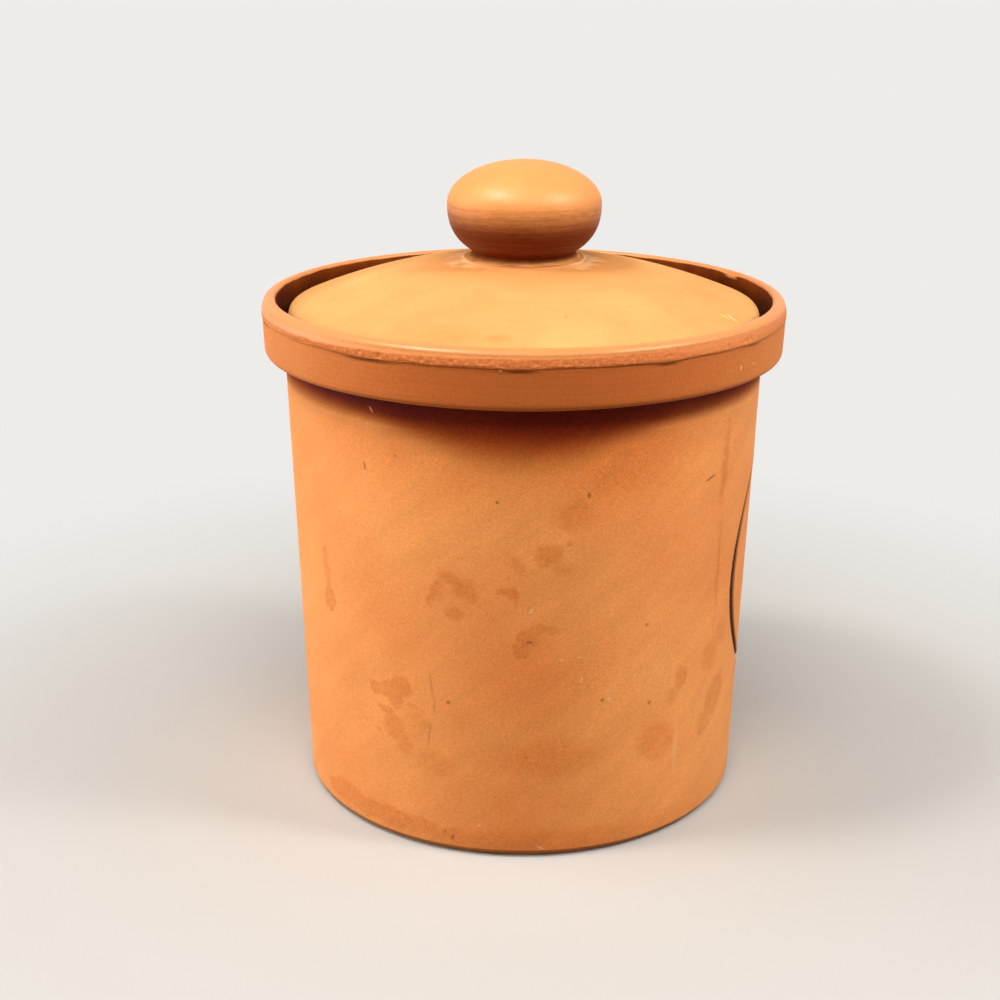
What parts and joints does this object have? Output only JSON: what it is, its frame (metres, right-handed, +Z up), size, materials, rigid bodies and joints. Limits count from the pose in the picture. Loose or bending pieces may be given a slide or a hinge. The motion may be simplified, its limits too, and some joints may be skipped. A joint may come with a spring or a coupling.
{
  "type": "biscuit canister",
  "caption": "Unglazed terracotta biscuit canister: tapered round pot with an overhanging galleried rim, a domed lid sunk in the rim and a bun-shaped knob; the lid lifts off and turns.",
  "frame": {"origin": "middle of the base, on the surface that the canister stands on", "axes": "+Z up along the axis that the pot was turned about; +X and +Y are any two square directions across it"},
  "size_m": [0.171, 0.171, 0.2093],
  "materials": {
    "terracotta_pot": "bare fired clay, matt and faintly sandy, with a clear honey-brown glaze inside",
    "terracotta_lid": "bare fired clay, sponged smooth",
    "terracotta_knob": "bare fired clay with fine turning lines",
    "slip": "paler fired slip, wiped by hand",
    "seal_silicone": "milky translucent silicone, satin"
  },
  "bodies": {
    "pot": {"pot": "terracotta_pot"},
    "seal": {"lid_seal": "seal_silicone"},
    "lid": {"lid": "terracotta_lid", "knob": "terracotta_knob", "knob_slip_collar": "slip"}
  },
  "joints": [
    {"name": "lid_lift", "type": "slide", "parent": "pot", "child": "seal", "axis": [0, 0, 1], "range_m": [0, 0.2]},
    {"name": "lid_turn", "type": "hinge", "parent": "seal", "child": "lid", "pos_m": [0, 0, 0.1555], "axis": [0, 0, 1], "continuous": true}
  ]
}
